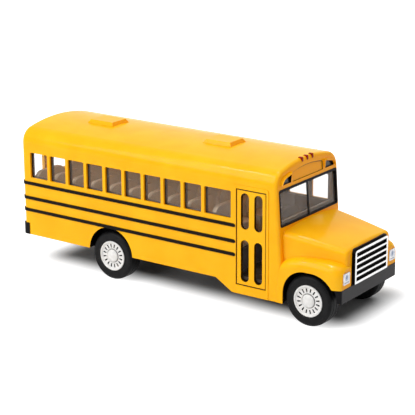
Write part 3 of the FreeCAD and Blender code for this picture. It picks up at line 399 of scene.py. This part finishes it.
# Lamp visors: thin lips of the same casting that stand out over the front warning lamps.
# Each follows the top of its pocket from the sign round to the outer corner.
visor_gap = 0.58                       # mm from the pocket's edge to the middle of the lip
visor_front = 0.069
visor_half_depth = 0.00035
visor_half_thickness = 0.00028
crown_steps = (17.0, 18.4, 19.8, 21.2)
corner_steps = (75, 60, 45, 30, 15)
crown_radius = pocket_crown_radius + visor_gap
corner_radius = pocket_corner_radius + visor_gap
visor_points = [(y, math.sqrt(crown_radius ** 2 - y ** 2) + crown_middle_z)
                for y in crown_steps]
for angle in corner_steps:
    visor_points.append((corner_y + corner_radius * math.cos(math.radians(angle)),
                         corner_z + corner_radius * math.sin(math.radians(angle))))
# The curve is drawn flat, and its width, height and depth become Y, Z and X.
stand_up = Matrix(((0, 0, 1, visor_front), (1, 0, 0, 0), (0, 1, 0, 0), (0, 0, 0, 1)))
for side_name, sign in (("right", -1), ("left", 1)):
    lip = bpy.data.curves.new("visor_lip", "CURVE")
    lip.dimensions = "2D"
    lip.extrude = visor_half_depth
    lip.bevel_depth = visor_half_thickness
    lip.bevel_resolution = 3
    lip.use_fill_caps = True
    spline = lip.splines.new("POLY")
    spline.points.add(len(visor_points) - 1)
    for point, (y, z) in zip(spline.points, visor_points):
        point.co = (sign * y / 1000, z / 1000, 0, 1)
    visor = bpy.data.objects.new("lamp_visor_" + side_name, lip)
    bpy.context.collection.objects.link(visor)
    bpy.ops.object.select_all(action="DESELECT")
    visor.select_set(True)
    bpy.context.view_layer.objects.active = visor
    bpy.ops.object.convert(target="MESH")
    visor = bpy.context.object
    visor.data.transform(stand_up)
    bpy.ops.object.mode_set(mode="EDIT")
    bpy.ops.mesh.select_all(action="SELECT")
    bpy.ops.mesh.remove_doubles(threshold=1e-6)
    bpy.ops.mesh.normals_make_consistent(inside=False)
    bpy.ops.object.mode_set(mode="OBJECT")
    bpy.ops.object.shade_smooth_by_angle(angle=math.radians(35))
    visor.data.materials.clear()
    visor.data.materials.append(enamel)
    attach(visor, "bus")


# Rub rails: ribs of the same casting, tampo printed in black along their outer faces.
# The print is thin and satin, and warm where the yellow shows through it.
print_black, tree, shader, spot = finish_material(
    "black_tampo_print", ("0C0803", "150F06"), grain_mm=5.0, roughness=0.5, specular=0.08)
relief(tree, shader, spot, grain_mm=0.8, height_mm=0.004, edge_mm=0.2)
for name in ("rub_rails_right", "rub_rails_left"):
    coat_node(name, print_black)


# Windscreen surround and grille surround: the same black, sprayed through a mask.
# It is a little glossier where it lies on the smooth casting.
mask_black, tree, shader, spot = finish_material(
    "black_masked_spray", ("090705", "120E0B"), grain_mm=4.0, roughness=0.35, specular=0.06)
uneven_gloss(tree, shader, spot, grain_mm=3.0, low=0.3, high=0.45)
for name in ("windscreen_seal", "grille_surround"):
    coat_node(name, mask_black)


# Glazing: clear polystyrene mouldings clipped inside the casting, faintly smoked. Light
# goes through almost unchanged, and each sheet lays a thin warm veil over the inside. The
# windscreen is smoked a little more than the rest.
clear_styrene, tree, shader, spot = finish_material(
    "clear_polystyrene", ("D2CAC0", "DED6CC"), grain_mm=30.0, roughness=0.06, specular=0.3)
shader.inputs["Alpha"].default_value = 0.055
for name in ("side_glazing_right", "side_glazing_left", "rear_glazing"):
    coat_node(name, clear_styrene)
screen_styrene, tree, shader, spot = finish_material(
    "clear_polystyrene_screen", ("CAC5C1", "D4CFCB"), grain_mm=30.0, roughness=0.06,
    specular=0.3)
shader.inputs["Alpha"].default_value = 0.15
coat_node("windscreen", screen_styrene)


# Interior: matt ABS mouldings clipped inside the casting, beige benches between taupe walls.
# Spark-eroded tools leave them a fine grain with no gloss. The benches' forward faces are painted
# paler as light, and the walls, floor and driver's seat are painted dark as shade in the cab.
shaded_cab = ((54.0, 0, 50.0), (10.5, 40.0, 40.0))
seat_abs, tree, shader, spot = finish_material(
    "beige_moulded_abs", ("DFCBAF", "EDDBC2"), grain_mm=12.0, roughness=0.6, specular=0.3)
# Painted light: the benches' forward faces are washed paler.
wash(tree, shader, "FFF3E2", facing_mask(tree, "X", low=0.5, high=1.1))
relief(tree, shader, spot, grain_mm=0.35, height_mm=0.008, edge_mm=0.5)
for name in ("seats_right", "seats_left"):
    coat_node(name, seat_abs)
wall_abs, tree, shader, spot = finish_material(
    "taupe_moulded_abs", ("787270", "86807F"), grain_mm=12.0, roughness=0.66, specular=0.3)
relief(tree, shader, spot, grain_mm=0.35, height_mm=0.008)
# Painted shade: walls, floor and driver's seat are washed dark inside the cab.
wash(tree, shader, "4A3F36", place_mask(tree, spot, *shaded_cab))
for name in ("lining_right", "lining_left", "interior_floor", "driver_seat"):
    coat_node(name, wall_abs)
frame_abs, tree, shader, spot = finish_material(
    "grey_brown_moulded_abs", ("95887B", "A3978A"), grain_mm=6.0, roughness=0.55,
    specular=0.3)
relief(tree, shader, spot, grain_mm=0.35, height_mm=0.008)
coat_node("windscreen_frame", frame_abs)
dash_abs, tree, shader, spot = finish_material(
    "dark_moulded_abs", ("4C433A", "5D5349"), grain_mm=8.0, roughness=0.6, specular=0.3)
relief(tree, shader, spot, grain_mm=0.35, height_mm=0.008)
for name in ("dashboard", "steering_wheel"):
    coat_node(name, dash_abs)


# Lamps: small lenses pressed or printed on the casting. The roof, tail and rear lamps are
# dark red, and the front warning lamps nearly black with a painted grey reflection across the
# middle.
lamp_painted_gleam = ((0, 21.2, 73.6), (0, 0.9, 0.25))
gleam_round = 0.45
red_lens, tree, shader, spot = finish_material(
    "dark_red_lens", ("761005", "9C1C0A"), grain_mm=1.5, roughness=0.3, specular=0.08)
shader.inputs["Coat Weight"].default_value = 0.05
for name in ("clearance_lamps", "tail_lamps", "rear_warning_lamps"):
    coat_node(name, red_lens)
smoke_lens, tree, shader, spot = finish_material(
    "smoked_lens", ("120E0B", "241B14"), grain_mm=1.8, roughness=0.22, specular=0.2)
# Painted reflection: a grey gleam across the middle of each front warning lens.
wash(tree, shader, "3C3936",
     place_mask(tree, spot, *lamp_painted_gleam, gleam_round, "YZ", mirrored=True))
shader.inputs["Coat Weight"].default_value = 0.15
coat_node("front_warning_lamps", smoke_lens)


# Headlamps: flat panels of the front clip, stamped in bright silver foil. Each has a
# grey-blue bulb spot in the middle and a darker line along its foot.
lamp_silver, tree, shader, spot = finish_material(
    "headlamp_silver_foil", ("BCBCC2", "E6E6E8"), grain_mm=1.3, roughness=0.3, specular=0.4)
relief(tree, shader, spot, grain_mm=0.8, height_mm=0.01, edge_mm=0.25)
headlamp_y = 23.9
for colour, height, half, grown in (
        ("8F8E90", 26.5, (0, 2.1, 0.15), 0.2),      # the line along the foot
        ("9FA9BC", 29.1, (0, 0, 0.3), 1.5),         # the bulb spot
        ("5F6F8E", 29.3, (0, 0, 0.2), 0.8)):        # its darker middle
    wash(tree, shader, colour, place_mask(tree, spot, (0, headlamp_y, height), half, grown,
                                          "YZ", mirrored=True))
shader.inputs["Metallic"].default_value = 0.4
shader.inputs["Coat Weight"].default_value = 0.5
coat_node("headlamps", lamp_silver)


# Grille: a ladder of bars moulded in black ABS, with white foil hot stamped on the faces
# that stand out. The foil stops short of their edges, and the walls between stay black.
grille_x, grille_z = 108.0, 32.5
grille_slot_pitch = 3.285
grille_slot_half = (0.5, 15.55, 1.1)
foil_metallic = 0.85
grille_foil, tree, shader, spot = finish_material(
    "white_foil_on_black_abs", ("DCDCDC", "E8E8E7"), grain_mm=3.0, roughness=0.35,
    specular=0.1)
bare = facing_mask(tree, "X", low=-0.8, high=0.8)
for step in (-2, -1, 0, 1, 2):
    slot_middle = (grille_x, 0, grille_z + step * grille_slot_pitch)
    beside_slot = place_mask(tree, spot, slot_middle, grille_slot_half)
    bare = add_node(tree, "ShaderNodeMath", {0: bare, 1: beside_slot},
                    operation="MAXIMUM").outputs[0]
wash(tree, shader, "070707", bare)
plating = add_node(tree, "ShaderNodeMapRange", {"Value": bare, "To Min": foil_metallic,
                                                "To Max": 0.0})
tree.links.new(plating.outputs["Result"], shader.inputs["Metallic"])
coat_node("grille", grille_foil)


# Bumpers and base: charcoal moulded plastic, riveted under the casting.
# It is matt with a fine grain, and the bumper's face carries a painted grey sheen.
bumper_abs, tree, shader, spot = finish_material(
    "charcoal_moulded_abs", ("0C0B0D", "121113"), grain_mm=6.0, roughness=0.5, specular=0.08)
# Painted reflection: faces that look forward are washed grey as a sheen.
wash(tree, shader, "3E3D3E", facing_mask(tree, "X", low=0.7, high=1.1))
relief(tree, shader, spot, grain_mm=0.5, height_mm=0.01, edge_mm=0.3)
for name in ("front_bumper", "rear_bumper"):
    coat_node(name, bumper_abs)
base_abs, tree, shader, spot = finish_material(
    "black_moulded_abs", ("141314", "1B1A1B"), grain_mm=6.0, roughness=0.6, specular=0.1)
relief(tree, shader, spot, grain_mm=0.5, height_mm=0.01)
coat_node("chassis_base", base_abs)


# Axles: bright drawn steel wire, pushed through the wheel centres.
# Drawing leaves it bright, with small patches of a duller grey.
axle_steel, tree, shader, spot = finish_material(
    "bright_drawn_steel", ("A8A8A7", "C6C6C5"), grain_mm=1.0, roughness=0.3)
shader.inputs["Metallic"].default_value = 1.0
for name in ("front_axle", "rear_axle"):
    coat_node(name, axle_steel)


# Tyres: soft black vinyl rings, moulded with a raised sidewall band, two grooves round the
# tread and fine notches on both shoulders. The vinyl is dull and nearly black.
front_x = axle_places["front_wheelset"][0]
rear_x = axle_places["rear_wheelset"][0]
axle_height = axle_places["front_wheelset"][2]
wheel_face = 29.55                     # mm from the middle of the bus to the outer face
tyre_segments = 144
tread_radius = axle_height             # the tyres stand on the ground
groove_radius = tread_radius - 0.25
groove_slope, groove_floor = 0.15, 0.35
notch_depth = 0.00016


def ring_walk(name, profile, segments, closed):
    """Skin turned about the right front axle, through (radius, depth from the face) in mm"""
    radius, depth = profile[0]
    centre = (front_x / 1000, 0, axle_height / 1000)
    bpy.ops.object.select_all(action="DESELECT")
    bpy.ops.mesh.primitive_circle_add(
        vertices=segments, radius=radius / 1000, fill_type="NOTHING" if closed else "TRIFAN",
        location=(centre[0], (depth - wheel_face) / 1000, centre[2]),
        rotation=(math.pi / 2, 0, 0))
    piece = bpy.context.object
    piece.name = name
    bpy.ops.object.transform_apply(location=True, rotation=True, scale=True)
    bpy.ops.object.mode_set(mode="EDIT")
    bpy.ops.mesh.select_all(action="SELECT")
    if not closed:
        bpy.ops.mesh.region_to_loop()
    for next_radius, next_depth in profile[1:]:
        bpy.ops.mesh.extrude_region_move(
            TRANSFORM_OT_translate={"value": (0, (next_depth - depth) / 1000, 0)})
        growth = next_radius / radius
        bpy.ops.transform.resize(value=(growth, 1, growth), center_override=centre)
        radius, depth = next_radius, next_depth
    if not closed:
        bpy.ops.mesh.merge(type="CENTER")
    bpy.ops.mesh.select_all(action="SELECT")
    bpy.ops.mesh.remove_doubles(threshold=1e-6)
    bpy.ops.mesh.normals_make_consistent(inside=False)
    bpy.ops.mesh.select_all(action="DESELECT")
    bpy.ops.object.mode_set(mode="OBJECT")
    return piece


def ring_place(face):
    """Distance of a face's middle from the axle, its depth from the wheel's face, in mm,
    and how much of a turn it is round the axle"""
    x = face.center.x * 1000 - front_x
    z = face.center.z * 1000 - axle_height
    return math.hypot(x, z), face.center.y * 1000 + wheel_face, math.atan2(z, x) / math.tau % 1.0


def pick_faces(piece, segments, radii, depths, period, chosen):
    """Selects, in edit mode, the chosen ones of every few faces round a turned skin, between
    two radii and two depths"""
    mesh = piece.data
    for part in (mesh.vertices, mesh.edges, mesh.polygons):
        part.foreach_set("select", [False] * len(part))
    for face in mesh.polygons:
        radius, depth, turn = ring_place(face)
        face.select = (radii[0] < radius < radii[1] and depths[0] < depth < depths[1]
                       and int(turn * segments) % period in chosen)
    bpy.context.view_layer.objects.active = piece
    bpy.ops.object.mode_set(mode="EDIT")
    bpy.ops.mesh.select_mode(type="FACE")


def fit_wheels(piece, kind, slot_name):
    """Copies the right front piece to the other three places, and stands for the CAD's"""
    mirror = Matrix.Scale(-1, 4, (0, 1, 0))
    to_rear = Matrix.Translation(((rear_x - front_x) / 1000, 0, 0))
    for end in ("front", "rear"):
        for side in ("right", "left"):
            copy = piece
            if (end, side) != ("front", "right"):
                copy = piece.copy()
                copy.data = piece.data.copy()
                bpy.context.collection.objects.link(copy)
            if side == "left":
                copy.data.transform(mirror)
                copy.data.flip_normals()
            if end == "rear":
                copy.data.transform(to_rear)
            copy.name = f"{kind}_{end}_{side}"
            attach(copy, end + "_wheelset")
            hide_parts(f"{end}_{slot_name}_{side}")


tyre_vinyl, tree, shader, spot = finish_material(
    "black_tyre_vinyl", ("101011", "171718"), grain_mm=3.0, roughness=0.45, specular=0.1)
relief(tree, shader, spot, grain_mm=0.6, height_mm=0.012)
near_wall = [(8.6, 0.35), (9.05, 0.05), (9.5, 0.2), (10.6, 0.12), (12.0, 0.0), (12.55, 0.08),
             (13.2, 0.45), (13.65, 1.05), (tread_radius, 1.9)]
tread = []
for start in (3.0, 5.85):              # depths at which the two grooves begin
    down = start + groove_slope
    tread += [(tread_radius, start), (groove_radius, down),
              (groove_radius, down + groove_floor),
              (tread_radius, down + groove_floor + groove_slope)]
far_wall = [(tread_radius, 7.6), (13.65, 8.45), (13.2, 9.05), (12.55, 9.42), (12.0, 9.5),
            (8.6, 9.4), (8.6, 0.35)]
tyre = ring_walk("vinyl_tyre", near_wall + tread + far_wall, tyre_segments, closed=True)
for notch_depths in ((0.0, 1.2), (8.3, 9.5)):
    pick_faces(tyre, tyre_segments, radii=(12.6, 13.6), depths=notch_depths, period=2,
               chosen=(0,))
    bpy.ops.mesh.extrude_region_shrink_fatten(
        TRANSFORM_OT_shrink_fatten={"value": -notch_depth})
    bpy.ops.mesh.select_all(action="DESELECT")
    bpy.ops.object.mode_set(mode="OBJECT")
tyre.data.materials.append(tyre_vinyl)
bpy.ops.object.shade_smooth_by_angle(angle=math.radians(28))
fit_wheels(tyre, "vinyl_tyre", "tyre")


# Wheel centres: moulded ABS with a bright silver spray, pushed on the axle. A rolled rim
# stands round a sunken disc with sixteen slots painted dark as shade, and a domed cap closes the
# middle inside a groove painted grey as shade.
hub_segments = 96
slot_sink = 0.0012
slot_radii = (4.75, 6.85)
cap_groove_radii = (3.5, 4.0)
hub_front_depth = 1.2                  # mm; deeper faces are the back of the centre
hub_silver, tree, shader, spot = finish_material(
    "silver_sprayed_abs", ("E0DFDD", "EEEDEB"), grain_mm=2.0, roughness=0.35, specular=0.4)
relief(tree, shader, spot, grain_mm=0.6, height_mm=0.006)
# Painted shade: the slots and the groove round the cap take darker materials.
slot_painted_shade = finish_material("painted_shade_slot_black", ("100F0E", "1A1918"), grain_mm=1.0,
                            roughness=0.6, specular=0.2)[0]
groove_painted_shade = finish_material("painted_shade_groove_grey", ("878684", "969593"), grain_mm=1.0,
                              roughness=0.5, specular=0.3)[0]
bore_and_sleeve = [(1.25, 2.4), (1.25, 9.5), (3.0, 9.5), (3.0, 3.6), (7.5, 3.6), (7.5, 9.5),
                   (8.6, 9.5)]
rim = [(8.6, 0.3), (8.4, 0.06), (8.1, 0.0), (7.8, 0.06), (7.5, 0.4)]
disc = [(7.25, 0.75), (6.85, 0.78), (4.75, 0.78), (4.3, 0.7), (3.95, 1.05), (3.7, 1.1)]
cap = [(3.6, 0.6), (3.4, 0.35), (2.9, 0.15), (2.3, 0.0), (1.2, -0.12), (0.4, -0.149)]
hub = ring_walk("silver_hub", bore_and_sleeve + rim + disc + cap, hub_segments, closed=False)
for material in (hub_silver, slot_painted_shade, groove_painted_shade):
    hub.data.materials.append(material)
pick_faces(hub, hub_segments, radii=slot_radii, depths=(0.7, 0.9), period=6, chosen=(2, 3))
bpy.ops.mesh.extrude_region_move(TRANSFORM_OT_translate={"value": (0, slot_sink, 0)})
bpy.ops.mesh.select_more()
bpy.ops.object.mode_set(mode="OBJECT")
for face in hub.data.polygons:
    radius, depth = ring_place(face)[:2]
    in_groove = depth < hub_front_depth and cap_groove_radii[0] < radius < cap_groove_radii[1]
    face.material_index = 1 if face.select else 2 if in_groove else 0
bpy.ops.object.shade_smooth_by_angle(angle=math.radians(32))
fit_wheels(hub, "silver_hub", "hub")
